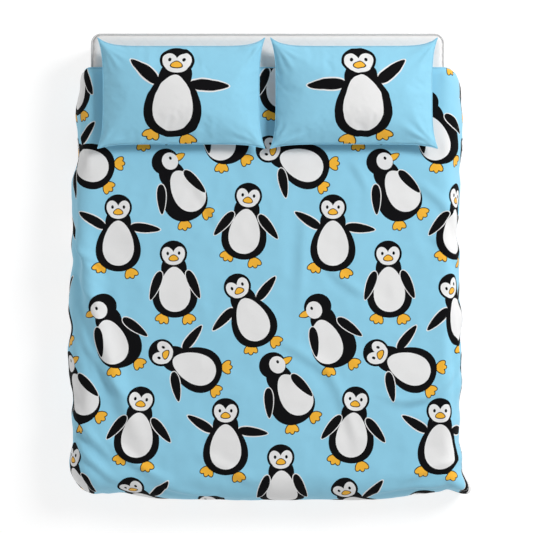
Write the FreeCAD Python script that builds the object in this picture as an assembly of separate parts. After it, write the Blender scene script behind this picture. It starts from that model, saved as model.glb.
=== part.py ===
"""A bedding set dressed on its mattress: a duvet in a zipped cover, two pillows in envelope covers, and the
plain mattress that carries them.

Millimetres. +Z is up, +Y runs towards the head of the bed, and the origin is the centre of the mattress's
underside, on the floor. The duvet hangs over the mattress on three sides, and the zip of its cover closes the
hem at the foot. Each pillow lies across the duvet's turned edge.
"""
import FreeCAD
import Part
import math
import os

Vector = FreeCAD.Vector

# ---- Mattress -------------------------------------------------------------------------------------------
MATTRESS_WIDTH = 1600.0
MATTRESS_LENGTH = 2000.0
MATTRESS_HEIGHT = 300.0
MATTRESS_CORNER = 45.0          # plan radius of the upright corners
PIPING_RADIUS = 4.0
PIPING_INSET = 6.0              # the panels stand this far inside the overall size, and the piping fills it
TOP_PANEL = 14.0                # quilted top panel
TOP_PANEL_EDGE = 11.0
BASE_PANEL = 3.0
BORDER = 4.0                    # side fabric with its thin backing
SUPPORT_FOAM_TOP = 180.0
TRANSITION_FOAM_TOP = 236.0

# ---- Duvet ----------------------------------------------------------------------------------------------
COVER = 1.5                     # each cloth panel of the cover
FILLING = 21.0                  # the duvet inside it
DUVET = FILLING + 2 * COVER
DUVET_SIDE_GAP = 6.0            # between the mattress's sides and the lining
DUVET_REST_GAP = 0.5            # between the mattress's top and the lining
HEAD_EDGE = 842.0               # Y of the edge under the pillows
HEM = 30.0                      # height of the hem above the floor
RIM = 12.0                      # depth of the sewn rim, where the filling stops
EDGE_RADIUS = 15.0              # of the lining, over the mattress's edge
UPRIGHT = 25.0                  # stretch of the drop that hangs straight, below that edge
SIDE_FLARE = 80.0               # how far the hem stands out from there
FOOT_FLARE = 75.0
CORNER_FLARE = 70.0

# ---- Zip in the foot hem ----------------------------------------------------------------------------------
ZIP_LENGTH = 1080.0
TAPE = 1.0
COIL_WIDTH = 2.0
COIL_HEIGHT = 2.2
COIL_GAP = 1.2                  # the slider's neck runs in it
SLIDER_LENGTH = 10.0
SLIDER_WIDTH = 9.0
SLIDER_PLATE = 1.0
SLIDER_NECK = 0.7
SLIDER_CLEARANCE = 0.4
BRIDGE_INSIDE = 5.0             # free length under the slider's bridge
BRIDGE_BAR = 0.9
BRIDGE_DROP = 2.6
TAB_LENGTH = 17.0
TAB_WIDTH = 7.0
TAB_THICKNESS = 1.0
TAB_EYE = 5.0                   # from the cross bar's axis to the solid part of the tab
TAB_BAR_RADIUS = 0.5

# ---- Pillows ------------------------------------------------------------------------------------------------
PILLOW_LENGTH = 750.0           # between corner tips, along X
PILLOW_WIDTH = 498.0            # between corner tips, along Y
PILLOW_BELOW = 62.0             # seam to underside
PILLOW_ABOVE = 88.0             # seam to crown
PILLOW_X = 386.0
PILLOW_Y = 720.0
PILLOW_GAP = 0.5                # above the duvet
PILLOW_COVER = 1.2
PILLOW_TICKING = 0.8
ENVELOPE_OPENING = 0.24         # the back opens at this share of the length, from the middle


def rounded_outline(width, length, radius, z):
    """Closed rectangle with round corners, centred on the Z axis."""
    a = width / 2
    b = length / 2
    k = radius * (1 - math.sqrt(0.5))
    edges = []
    corners = ((1, 1), (-1, 1), (-1, -1), (1, -1))
    for i, (sx, sy) in enumerate(corners):
        on_x = Vector(sx * a, sy * (b - radius), z)
        on_y = Vector(sx * (a - radius), sy * b, z)
        start, end = (on_x, on_y) if i % 2 == 0 else (on_y, on_x)
        middle = Vector(sx * (a - k), sy * (b - k), z)
        edges.append(Part.Arc(start, middle, end).toShape())
        nx, ny = corners[(i + 1) % 4]
        following = Vector(nx * (a - radius), ny * b, z) if i % 2 == 0 else Vector(nx * a, ny * (b - radius), z)
        edges.append(Part.LineSegment(end, following).toShape())
    return Part.Wire(edges)


def slab(width, length, radius, z_low, z_high):
    return Part.Face(rounded_outline(width, length, radius, z_low)).extrude(Vector(0, 0, z_high - z_low))


def box(x_low, x_high, y_low, y_high, z_low, z_high):
    return Part.makeBox(x_high - x_low, y_high - y_low, z_high - z_low, Vector(x_low, y_low, z_low))


def edges_at(shape, z):
    """Edges that lie wholly at one height."""
    return [e for e in shape.Edges if all(abs(v.Point.z - z) < 1e-6 for v in e.Vertexes)]


# ---- Mattress parts -------------------------------------------------------------------------------------------

def piping(z):
    """A round cord around the mattress, half sunk into the seam that it covers."""
    inset = PIPING_RADIUS
    path = rounded_outline(MATTRESS_WIDTH - 2 * inset, MATTRESS_LENGTH - 2 * inset, MATTRESS_CORNER - inset, z)
    start = path.Edges[0].Vertexes[0].Point
    ring = Part.Wire(Part.makeCircle(PIPING_RADIUS, start, Vector(0, 1, 0)))
    return path.makePipeShell([ring], True, False)


def mattress():
    width = MATTRESS_WIDTH - 2 * PIPING_INSET
    length = MATTRESS_LENGTH - 2 * PIPING_INSET
    radius = MATTRESS_CORNER - PIPING_INSET
    seam = MATTRESS_HEIGHT - TOP_PANEL
    foot_seam = BASE_PANEL + PIPING_RADIUS
    upper_piping = piping(seam)
    lower_piping = piping(foot_seam)

    top = slab(width, length, radius, seam, MATTRESS_HEIGHT)
    top = top.makeFillet(TOP_PANEL_EDGE, edges_at(top, MATTRESS_HEIGHT)).cut(upper_piping)
    base = slab(width, length, radius, 0, BASE_PANEL).cut(lower_piping)
    core = (width - 2 * BORDER, length - 2 * BORDER, radius - BORDER)
    border = slab(width, length, radius, BASE_PANEL, seam).cut(slab(*core, BASE_PANEL, seam))
    border = border.cut(upper_piping).cut(lower_piping)
    return {
        "mattress_top_panel": top,
        "mattress_border": border,
        "mattress_base_panel": base,
        "mattress_piping_upper": upper_piping,
        "mattress_piping_lower": lower_piping,
        "mattress_support_foam": slab(*core, BASE_PANEL, SUPPORT_FOAM_TOP),
        "mattress_transition_foam": slab(*core, SUPPORT_FOAM_TOP, TRANSITION_FOAM_TOP),
        "mattress_comfort_foam": slab(*core, TRANSITION_FOAM_TOP, seam),
    }


# ---- Duvet parts ------------------------------------------------------------------------------------------------

DROP_TOP = MATTRESS_HEIGHT + DUVET_REST_GAP - EDGE_RADIUS - UPRIGHT   # the flare starts at this height


def flare_at(z):
    """0 where the drop starts to stand out, 1 at the hem."""
    return (DROP_TOP - z) / (DROP_TOP - HEM)


def drop_sizes(offset, z):
    """Half width, foot distance and corner radius of the drop, offset outwards from the lining's inner face."""
    share = max(0.0, flare_at(z))
    half = MATTRESS_WIDTH / 2 + DUVET_SIDE_GAP + offset + SIDE_FLARE * share
    foot = MATTRESS_LENGTH / 2 + DUVET_SIDE_GAP + offset + FOOT_FLARE * share
    radius = MATTRESS_CORNER + DUVET_SIDE_GAP + offset + CORNER_FLARE * share
    return half, foot, radius


def drop_outline(offset, z, head):
    """Plan of the duvet at one height: straight at the head, round at both foot corners."""
    half, foot, r = drop_sizes(offset, z)
    k = r * (1 - math.sqrt(0.5))
    p = [Vector(-half, head, z), Vector(-half, r - foot, z), Vector(r - half, -foot, z),
         Vector(half - r, -foot, z), Vector(half, r - foot, z), Vector(half, head, z)]
    left_mid = Vector(k - half, k - foot, z)
    right_mid = Vector(half - k, k - foot, z)
    return Part.Wire([
        Part.LineSegment(p[0], p[1]).toShape(),
        Part.Arc(p[1], left_mid, p[2]).toShape(),
        Part.LineSegment(p[2], p[3]).toShape(),
        Part.Arc(p[3], right_mid, p[4]).toShape(),
        Part.LineSegment(p[4], p[5]).toShape(),
        Part.LineSegment(p[5], p[0]).toShape(),
    ])


def cap(offset, hem=HEM, head=HEAD_EDGE):
    """The space under a draped sheet that lies offset outside the lining's inner face, as one solid."""
    top = MATTRESS_HEIGHT + DUVET_REST_GAP + offset
    upper = Part.Face(drop_outline(offset, DROP_TOP, head)).extrude(Vector(0, 0, top - DROP_TOP))
    over_edge = [e for e in edges_at(upper, top) if any(abs(v.Point.y - head) > 1e-6 for v in e.Vertexes)]
    upper = upper.makeFillet(EDGE_RADIUS + offset, over_edge)
    lower = Part.makeLoft([drop_outline(offset, hem, head), drop_outline(offset, DROP_TOP, head)], True, True)
    return upper.fuse(lower)


def layer(inner, outer):
    """One layer of the duvet between two offsets, open below and at the head."""
    return cap(outer).cut(cap(inner, HEM - 1, HEAD_EDGE + 1))


ZIP_MIDDLE = -(drop_sizes(COVER, HEM)[1] + FILLING / 2)     # Y of the chain
ZIP_HALF = ZIP_LENGTH / 2


def rim_space():
    """Everything in the outer RIM of the duvet: along the head edge and along the hem."""
    wide = MATTRESS_WIDTH
    at_head = box(-wide, wide, HEAD_EDGE - RIM, HEAD_EDGE + RIM, 0, 2 * MATTRESS_HEIGHT)
    at_hem = box(-wide, wide, -MATTRESS_LENGTH, HEAD_EDGE + RIM, 0, HEM + RIM)
    return at_head.fuse(at_hem)


def tie_places():
    """Centre of each corner tie: two at the ends of the head edge and two at the foot corners."""
    z = HEM + RIM + 12.0
    half, foot, r = drop_sizes(COVER + FILLING / 2, z)
    inward = r * (1 - math.sqrt(0.5))
    head_y = HEAD_EDGE - RIM - 12.0
    return [Vector(s * half, head_y, z) for s in (-1, 1)] + [Vector(s * (half - inward), inward - foot, z)
                                                             for s in (-1, 1)]


def duvet():
    tie_radius = 6.0
    tie_height = 18.0
    ties = [Part.makeCylinder(tie_radius, tie_height, p - Vector(0, 0, tie_height / 2)) for p in tie_places()]
    middle = layer(COVER, COVER + FILLING)
    rim = rim_space()
    filling = middle.cut(rim)
    for tie in ties:
        filling = filling.cut(tie)
    foot_y = ZIP_MIDDLE
    mouth = box(-ZIP_HALF, ZIP_HALF, foot_y - FILLING, foot_y + FILLING, 0, HEM + 1.5 * RIM)
    return {
        "duvet_cover_face": layer(COVER + FILLING, DUVET),
        "duvet_cover_lining": layer(0, COVER),
        "duvet_filling": filling,
        "duvet_cover_seam_rim": middle.common(rim).cut(mouth),
        "duvet_corner_ties": Part.makeCompound(ties),
    }


# ---- Zip ----------------------------------------------------------------------------------------------------------

def zip_parts():
    """Two tapes across the open hem, a row of coil on each, and the stops at the ends of the chain."""
    y = ZIP_MIDDLE
    reach = FILLING / 2 - 0.9       # a tape ends just short of the sloping cloth that it is sewn to
    inner = COIL_GAP / 2
    stop = 3.0
    parts = {}
    for name, side in (("face", -1), ("lining", 1)):
        low, high = sorted((y + side * inner, y + side * reach))
        parts["zip_tape_" + name] = box(-ZIP_HALF, ZIP_HALF, low, high, HEM, HEM + TAPE)
        low, high = sorted((y + side * inner, y + side * (inner + COIL_WIDTH)))
        run = ZIP_HALF - stop
        coil = box(-run, run, low, high, HEM - COIL_HEIGHT, HEM)
        long_edges = [e for e in edges_at(coil, HEM - COIL_HEIGHT) if e.Length > run]
        parts["zip_coil_" + name] = coil.makeFillet(0.8, long_edges)
    half_width = inner + COIL_WIDTH
    bottom_stop = box(-ZIP_HALF, -ZIP_HALF + stop, y - half_width, y + half_width, HEM - COIL_HEIGHT, HEM)
    top_stops = [
        box(ZIP_HALF - stop, ZIP_HALF, *sorted((y + s * inner, y + s * half_width)), HEM - COIL_HEIGHT, HEM)
        for s in (-1, 1)
    ]
    parts["zip_stops"] = Part.makeCompound([bottom_stop, *top_stops])
    return parts


SLIDER_X = ZIP_HALF - 3.0 - SLIDER_LENGTH / 2       # the closed end
LOWER_PLATE_TOP = HEM - COIL_HEIGHT - SLIDER_CLEARANCE
LOWER_PLATE = LOWER_PLATE_TOP - SLIDER_PLATE        # underside of the slider's lower plate
TAB_AXIS = LOWER_PLATE - TAB_BAR_RADIUS - 0.5       # height of the pull tab's pivot


def slider():
    """Two plates around the chain, joined by a neck between the coils, with a bridge below for the tab."""
    x, y = SLIDER_X, ZIP_MIDDLE
    a = SLIDER_LENGTH / 2
    b = SLIDER_WIDTH / 2
    upper_low = HEM + TAPE + SLIDER_CLEARANCE
    lower = box(x - a, x + a, y - b, y + b, LOWER_PLATE, LOWER_PLATE_TOP)
    lower = lower.makeFillet(2.0, [e for e in lower.Edges if abs(e.Length - SLIDER_PLATE) < 1e-6])
    upper = box(x - a, x + a, y - b, y + b, upper_low, upper_low + SLIDER_PLATE)
    neck = box(x - 1.5, x + 1.5, y - SLIDER_NECK / 2, y + SLIDER_NECK / 2, LOWER_PLATE_TOP, upper_low)
    flange_in = COIL_GAP / 2 + COIL_WIDTH + SLIDER_CLEARANCE
    flanges = [
        box(x - a + 1, x + a - 1, *sorted((y + s * flange_in, y + s * b)), LOWER_PLATE_TOP, HEM - SLIDER_CLEARANCE)
        for s in (-1, 1)
    ]
    outer = BRIDGE_INSIDE / 2 + BRIDGE_BAR
    foot = LOWER_PLATE - BRIDGE_DROP
    bridge = box(x - outer, x + outer, y - BRIDGE_BAR, y + BRIDGE_BAR, foot, LOWER_PLATE)
    opening = box(x - BRIDGE_INSIDE / 2, x + BRIDGE_INSIDE / 2, y - 2, y + 2, foot + BRIDGE_BAR, LOWER_PLATE)
    return lower.fuse([upper, neck, *flanges, bridge.cut(opening)])


def pull_tab():
    """A flat tab that hangs from a cross bar under the slider's bridge."""
    x, y, z = SLIDER_X, ZIP_MIDDLE, TAB_AXIS
    half = TAB_WIDTH / 2
    t = TAB_THICKNESS / 2
    plate = box(x - t, x + t, y - half, y + half, z - TAB_LENGTH, z)
    plate = plate.makeFillet(2.5, [e for e in edges_at(plate, z - TAB_LENGTH) if e.Length < 2 * TAB_THICKNESS])
    eye = box(x - 2, x + 2, y - half + 1.4, y + half - 1.4, z - TAB_EYE, z + 1)
    bar = Part.makeCylinder(TAB_BAR_RADIUS, TAB_WIDTH, Vector(x, y - half, z), Vector(0, 1, 0))
    finger_hole = Part.makeCylinder(1.4, 4, Vector(x - 2, y, z - TAB_LENGTH + 4.2), Vector(1, 0, 0))
    return plate.cut(eye).cut(finger_hole).fuse(bar)


# ---- Pillows --------------------------------------------------------------------------------------------------------

def pillow_section(a, b, bulge, z):
    """A four-sided ring whose sides bow out by bulge, or in where it is negative."""
    corners = [Vector(a, b, z), Vector(-a, b, z), Vector(-a, -b, z), Vector(a, -b, z)]
    middles = [Vector(0, b + bulge, z), Vector(-a - bulge, 0, z), Vector(0, -b - bulge, z), Vector(a + bulge, 0, z)]
    arcs = [Part.Arc(corners[i], middles[i], corners[(i + 1) % 4]).toShape() for i in range(4)]
    return Part.Wire(arcs)


def pillow_half(inset, height):
    """Half of a stuffed pillow on one side of its seam, taken in by inset. Height is signed."""
    a = PILLOW_LENGTH / 2 - inset
    b = PILLOW_WIDTH / 2 - inset
    size = abs(height)
    up = math.copysign(1.0, height)
    rise = (size - inset) / size
    # share of the height, how far the ring is drawn in, and how far its sides bow out
    rings = ((0.0, 0.0, -36.0), (0.42, 50.0, 8.0), (0.78, 92.0, 18.0), (1.0, 165.0, 22.0))
    sections = [pillow_section(a - draw, b - draw, bulge, up * share * size * rise) for share, draw, bulge in rings]
    return Part.makeLoft(sections, True, True)


def pillow(name, x):
    """Cover, inner ticking and filling of one pillow. The cover's back is two panels that meet at its opening."""
    steps = (0.0, PILLOW_COVER, PILLOW_COVER + PILLOW_TICKING)
    above = [pillow_half(i, PILLOW_ABOVE) for i in steps]
    below = [pillow_half(i, -PILLOW_BELOW) for i in steps]
    back = below[0].cut(below[1])
    opening = PILLOW_LENGTH * ENVELOPE_OPENING * math.copysign(1.0, x)
    far = math.copysign(PILLOW_LENGTH, x)
    flap_side = box(*sorted((opening, far)), -PILLOW_WIDTH, PILLOW_WIDTH, -2 * PILLOW_BELOW, 1)
    parts = {
        "cover_front": above[0].cut(above[1]),
        "cover_back": back.cut(flap_side),
        "cover_flap": back.common(flap_side),
        "ticking_upper": above[1].cut(above[2]),
        "ticking_lower": below[1].cut(below[2]),
        "filling": above[2].fuse(below[2]),
    }
    seam = MATTRESS_HEIGHT + DUVET_REST_GAP + DUVET + PILLOW_GAP + PILLOW_BELOW
    for shape in parts.values():
        shape.translate(Vector(x, PILLOW_Y, seam))
    return {name + "_" + part: shape for part, shape in parts.items()}


# ---- Export -----------------------------------------------------------------------------------------------------------

def main():
    os.makedirs("parts", exist_ok=True)
    parts = {}
    parts.update(mattress())
    parts.update(duvet())
    parts.update(zip_parts())
    parts["zip_slider"] = slider()
    parts["zip_pull_tab"] = pull_tab()
    parts.update(pillow("pillow_left", -PILLOW_X))
    parts.update(pillow("pillow_right", PILLOW_X))
    for name, shape in parts.items():
        solids = shape.Solids
        if not solids or not all(s.isValid() and s.Volume > 0 for s in solids):
            raise RuntimeError(name + " isn't made of valid solids")
        whole = solids[0] if len(solids) == 1 else Part.makeCompound(solids)
        whole.exportStep("parts/" + name + ".step")
        size = whole.BoundBox
        print(name, len(solids), "solid(s)", [round(v, 1) for v in (size.XMin, size.XMax, size.YMin, size.YMax,
                                                                    size.ZMin, size.ZMax)])
    print("zip chain at Y", round(ZIP_MIDDLE, 3), "slider at X", SLIDER_X, "tab pivot at Z", TAB_AXIS)


main()
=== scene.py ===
"""A made-up bed seen from straight above: a duvet in a bird-print cover, two pillows and their mattress.

Metres, in the CAD frame. Soft pieces are made from cloth as it lies flat: a piece is first a pattern in flat
x and y, with its print cut into it, and then a smooth surface carries every point of it to its place.
"""
import math
import bpy
import numpy as np
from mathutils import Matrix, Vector, geometry, noise


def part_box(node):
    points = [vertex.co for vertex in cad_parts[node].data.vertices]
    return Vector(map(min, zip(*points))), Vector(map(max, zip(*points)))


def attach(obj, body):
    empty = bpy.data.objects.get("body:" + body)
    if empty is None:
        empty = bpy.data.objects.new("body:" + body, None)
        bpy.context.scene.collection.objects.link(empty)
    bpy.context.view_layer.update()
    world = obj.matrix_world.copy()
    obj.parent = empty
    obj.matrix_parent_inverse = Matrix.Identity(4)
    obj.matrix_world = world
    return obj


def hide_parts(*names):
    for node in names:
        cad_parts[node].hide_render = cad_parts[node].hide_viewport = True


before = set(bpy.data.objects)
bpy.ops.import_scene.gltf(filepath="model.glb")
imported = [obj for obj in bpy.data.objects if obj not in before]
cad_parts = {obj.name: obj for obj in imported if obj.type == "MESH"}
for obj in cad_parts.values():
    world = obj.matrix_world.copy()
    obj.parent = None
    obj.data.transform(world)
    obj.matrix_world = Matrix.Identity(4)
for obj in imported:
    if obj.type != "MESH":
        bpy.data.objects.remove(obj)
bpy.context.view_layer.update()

# ---- Sizes read from the frame
HALF_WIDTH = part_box("mattress_piping_upper")[1].x
HALF_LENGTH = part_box("mattress_piping_upper")[1].y
TOP_PANEL_LOW, TOP_PANEL_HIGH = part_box("mattress_top_panel")
BED_TOP = TOP_PANEL_HIGH.z
COVER_LOW, COVER_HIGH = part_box("duvet_cover_face")
HEM = COVER_LOW.z
TAPE_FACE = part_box("zip_tape_face")
ZIP_HALF = TAPE_FACE[1].x
ZIP_Y = (TAPE_FACE[0].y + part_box("zip_tape_lining")[1].y) / 2

# ---- The duvet
HANGING = 0.3265                # length of cloth past the line where the duvet starts to bend
LINING_BEND = 0.0155            # radius of the lining over the mattress's edge
LINING_CLEARANCE = 0.0165       # the lining hangs at least this far outside the line where it starts to bend
FLAT_INSET = 0.009              # the bend starts this far inside the mattress's edge
CORNER_BEND = 0.036             # the same line's plan radius at the foot's corners
CORNER_CUT = 0.14               # the left corner of the foot is tucked round at this radius
CORNER_TIP = 0.03               # and the right one lies out on the floor, nearly square
HEAD_CORNER = 0.02              # radius of the corners under the pillows
CORNER_PLEAT = 0.012            # the hem is drawn in by this much beside each corner
HEM_SHARE = 0.86                # how far the hem stands out, as a share of the bulge above it
HEM_LIFT = 0.0035               # how high the hem hangs off the floor
ZIP_STRAIGHT = 0.58             # the foot's hem runs straight to this far from the middle
FACE_CURVE = (0.66, 1.36, 0.42)  # two shares of the bulge and one of the drop, which shape the hanging side
DUVET_GRID = (181, 175)
CLOSED = 0.05                   # share of the duvet's thickness that is left at its seams
CREASE_LIMIT = 0.42             # share of its thickness that a crease may reach into
WADDING_LIMIT = 0.62            # and the same for the wadding's top
QUILTED_FILL = (0.86, 0.45)     # how full the boxes are, and how much less at their stitches
SEAM_RADIUS = 0.0028
SEAM_TAPER = 0.05               # the duvet thins towards its seams over this width
ZIP_TAPER = 0.03                # and the zip's mouth closes over this length past each end
HEM_HALF = 0.0113               # half the hem's width along the zip
WADDING_DEPTH = 0.0028          # the wadding keeps this far below the deepest crease around it
WADDING_INSET = 0.018           # and this far inside the seams
STITCHED_BOX = 0.31             # side of the boxes that the wadding is stitched in
FACE_SPACING = 0.0144           # size of the triangles of the printed face
LINING_SPACING = 0.020
WADDING_SPACING = 0.026
COTTON = 0.0010                 # thickness of the covers
TIE_LENGTH = 0.045
TIE_HALF = 0.0012
TIE_LOOP = 0.007
TIE_KNOT = 3                    # the place of the knot, of 7 places along the tape
LAYER_GAP = 0.0012              # of the lining above the mattress, and of the face below the CAD cover's top
FLAT_X = HALF_WIDTH - FLAT_INSET
FLAT_FOOT = FLAT_INSET - HALF_LENGTH
DUVET_LOW = (-FLAT_X - HANGING, FLAT_FOOT - HANGING)
DUVET_HIGH = (FLAT_X + HANGING, COVER_HIGH.y)
DUVET_RADII = (CORNER_CUT, CORNER_TIP, HEAD_CORNER, HEAD_CORNER)
LINING_TOP = BED_TOP + LAYER_GAP
FACE_TOP = COVER_HIGH.z - LAYER_GAP
# How far the puffed side stands out past the line where it bends: by Y at the sides, by X at the foot.
LEFT_BULGE = ((-0.95, 0.118), (-0.79, 0.098), (-0.49, 0.116), (-0.25, 0.112), (0.09, 0.097), (0.25, 0.106),
              (0.50, 0.074), (0.71, 0.083), (0.83, 0.060))
RIGHT_BULGE = ((-0.97, 0.104), (-0.79, 0.082), (-0.60, 0.092), (-0.10, 0.087), (0.09, 0.073), (0.25, 0.082),
               (0.50, 0.096), (0.71, 0.101), (0.83, 0.070))
FOOT_BULGE = ((-0.80, 0.094), (-0.64, 0.102), (-0.50, 0.126), (-0.38, 0.132), (0.45, 0.132), (0.62, 0.114),
              (0.78, 0.096))
# The foot's left and right corner: how far it stands out, its direction and its spread in degrees.
CORNER_SHAPES = ((0.108, 48, 34), (0.166, 38, 13))
# Crumples of the printed face: their height, how they are stretched along x and y, their size and a seed.
CRUMPLES = ((0.0052, (1.0, 0.6, 1.0), 0.085, 3), (0.0028, (0.7, 1.0, 1.0), 0.05, 4))
CREASE_STRENGTH = 1.15
# Soft creases of the printed face, on the flat cloth: where each starts and ends, how far it bows to its
# left, its width, and its height at strength 1.
CREASES = [
    ((-0.86, 0.40), (-0.52, -0.96), -0.075, 0.040, 0.0280),
    ((-0.93, 0.26), (-0.72, -0.16), -0.030, 0.015, 0.0110),
    ((-0.95, 0.05), (-0.70, -0.10), 0.025, 0.013, 0.0090),
    ((-0.93, -0.02), (-0.66, -0.30), -0.020, 0.013, 0.0080),
    ((-0.88, -0.26), (-0.56, -0.70), -0.045, 0.020, 0.0100),
    ((-0.96, -0.56), (-0.60, -0.98), -0.045, 0.020, 0.0130),
    ((-0.94, -0.74), (-0.62, -1.06), -0.030, 0.016, 0.0120),
    ((-0.78, -0.78), (-0.34, -1.06), -0.035, 0.020, 0.0130),
    ((-0.62, -0.98), (-0.10, -1.12), -0.025, 0.018, 0.0110),
    ((-0.36, -0.86), (0.06, -1.04), -0.030, 0.024, 0.0070),
    ((0.17, 0.30), (0.13, -0.32), 0.010, 0.026, 0.0065),
    ((0.02, -0.38), (0.34, -0.60), 0.025, 0.024, 0.0080),
    ((0.22, -0.44), (0.42, -0.96), 0.035, 0.024, 0.0085),
    ((0.24, 0.00), (0.50, -0.20), -0.030, 0.021, 0.0075),
    ((0.36, 0.44), (0.47, 0.24), 0.012, 0.018, 0.0060),
    ((0.50, -0.70), (0.94, -0.42), -0.060, 0.021, 0.0105),
    ((0.46, -0.62), (0.84, -0.60), -0.045, 0.019, 0.0080),
    ((0.84, -0.20), (0.88, -0.78), 0.025, 0.018, 0.0100),
    ((0.56, -1.06), (0.98, -0.92), 0.035, 0.019, 0.0120),
    ((0.40, -1.10), (0.90, -1.06), 0.025, 0.016, 0.0080),
    ((-0.36, 0.36), (-0.20, 0.06), 0.020, 0.020, 0.0050),
    ((-0.16, -0.28), (-0.46, -0.44), 0.020, 0.021, 0.0055),
    ((0.62, 0.36), (0.92, 0.04), 0.035, 0.022, 0.0085),
    ((0.70, 0.10), (0.94, -0.10), 0.020, 0.018, 0.0070),
    ((-0.90, 0.60), (-0.80, 0.36), 0.015, 0.018, 0.0060),
]

# ---- The pillows
PILLOW_CUT = (0.762, 0.508)     # the pillow cover as it is cut
PILLOW_GRID = (57, 39)
PILLOW_SEAM = 0.004             # radius of the cover's cut corners
PILLOW_SPACING = 0.009          # size of the triangles of the printed side
PILLOW_FRAMES = 34
PILLOW_CLOTH = {"quality": 8, "mass": 0.15, "tension_stiffness": 40, "compression_stiffness": 30,
                "shear_stiffness": 12, "bending_stiffness": 0.8, "tension_damping": 20,
                "compression_damping": 20, "shear_damping": 15, "use_pressure": True,
                "uniform_pressure_force": 6.5}
KEPT_SLIDE = 0.3                # share of the cloth's sideways slide that is kept, to keep the print in shape
PILLOW_EARS = {"head": (0.040, 8), "foot": (0.021, 6), "side": (0.026, 4)}   # how deep, how near the corners
PILLOW_FOLDS = (13, 31, 52, 74)  # degrees from the long side, at each corner
ENVELOPE_OVERLAP = 0.05
CASE_INSET = 0.020              # the case inside lies this far inside the cover's seam
CASE_CORNER = 0.045
CASE_DEPTH = {"case": 0.004, "wadding": 0.007}      # how far inside the cover each lies
PILLOW_GATHER = 0.0022          # height of the gathers along the seam
FLAP_TUCK = 0.0022              # how far the tucked panel lies inside the flap
PILLOW_BIRD = (-0.030, 0.000)   # from the pillow's middle
PILLOW_BIRD_HEIGHT = 0.505
PILLOW_BIRD_TURN = -4
PILLOW_POSE = {"left": 128, "right": 92, "step": 0.03, "lift": 0.02}

# ---- The mattress and the zip
MATTRESS_CORNER = 0.039
QUILT = 0.14                    # side of the quilted diamonds
QUILT_DEPTH = 0.0022
BORDER_SWELL = 0.0045
STITCH_ROWS = (0.3, 0.7)        # the border's rows of stitches, as shares of its height
STITCH_DEPTH = 0.0025
COIL_PITCH = 0.0019
COIL_WIRE = 0.00033

# ---- The print: its repeat, and the places of its birds within one repeat
REPEAT_X = 0.967
REPEAT_SHIFT = (0.4836, -0.9176)
BIRD_HEIGHT = 0.388
SKY, WHITE, BLACK, ORANGE = range(4)
INK_WIDTH = 0.010               # share of a bird's height
OVAL_FINENESS = 94              # how many sides an oval has, for its size
RAISED = 60                     # a flipper raised by more than this is drawn behind the body
BIRDS = [
    # place within the repeat, turn in degrees, and the pose
    ((-0.673, 0.085), 0, {"left": 122, "right": 84, "step": 0.06, "lift": 0.05}),
    ((-0.100, 0.138), -6, {"left": 34, "right": 44, "step": 0.02, "lift": 0.03}),
    ((-0.420, -0.123), 2, {"left": 22, "right": 22}),
    ((-0.085, -0.261), 24, {"left": 68, "right": 118, "lift": 0.02}),
    ((-0.691, -0.352), 20, {"left": 12, "right": 34, "look": -1}),
    ((-0.364, -0.498), 68, {"left": 58, "right": 74, "lean": 0.02}),
    ((-0.405, 0.304), 30, {"left": 28, "right": 14, "look": 1}),
]

# ---- The studio
VIEW_CENTRE = (-0.005, -0.055)
VIEW_WIDTH = 2.409              # what the picture's width shows at the mattress's top
CAMERA_HEIGHT = 7.5             # above the mattress's top
SENSOR = 36.0
STUDIO_RADIUS = 60.0
WALL_HEIGHT = 13.0
WALL_SIDES = 48
SKY_LIGHT = 0.38
LAMPS = {"key": ((4.9, 3.2, 6.4), 2.6, 505), "fill": ((-2.6, -2.2, 6.0), 3.0, 30)}   # place, size, power
FLOOR_GLOW = 0.735
WALL_GLOW = 0.80


# ==== Small helpers
def smooth_step(low, high, value):
    """0 below low, 1 above high, and a smooth rise between them."""
    t = np.clip((np.asarray(value, float) - low) / (high - low), 0, 1)
    return t * t * (3 - 2 * t)


def bell(value, middle, width):
    return np.exp(-((np.asarray(value, float) - middle) / width) ** 2)


def through(knots, value):
    """A smooth line through a few (place, height) knots, level beyond the first and last."""
    places = [k[0] for k in knots]
    heights = [k[1] for k in knots]
    total = np.full(np.shape(value), float(heights[0]))
    for (a, ha), (b, hb) in zip(zip(places, heights), zip(places[1:], heights[1:])):
        total = total + (hb - ha) * smooth_step(a, b, value)
    return total


def ripple(points, scale, seed):
    """Smooth noise between about -1 and 1 at each point."""
    shift = Vector((seed * 17.3, seed * 5.9, seed * 11.1))
    return np.array([noise.noise(Vector(p) / scale + shift) for p in points])


def blurred(grid, passes):
    for _ in range(passes):
        inner = (grid[:-2, 1:-1] + grid[2:, 1:-1] + grid[1:-1, :-2] + grid[1:-1, 2:] + grid[1:-1, 1:-1]) / 5
        grid = grid.copy()
        grid[1:-1, 1:-1] = inner
    return grid


def spread_out(values, passes):
    """Each place takes the largest value around it."""
    rows, columns = values.shape
    for _ in range(passes):
        padded = np.pad(values, 1, mode="edge")
        values = np.max([padded[j:j + rows, i:i + columns] for j in range(3) for i in range(3)], 0)
    return values


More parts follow.
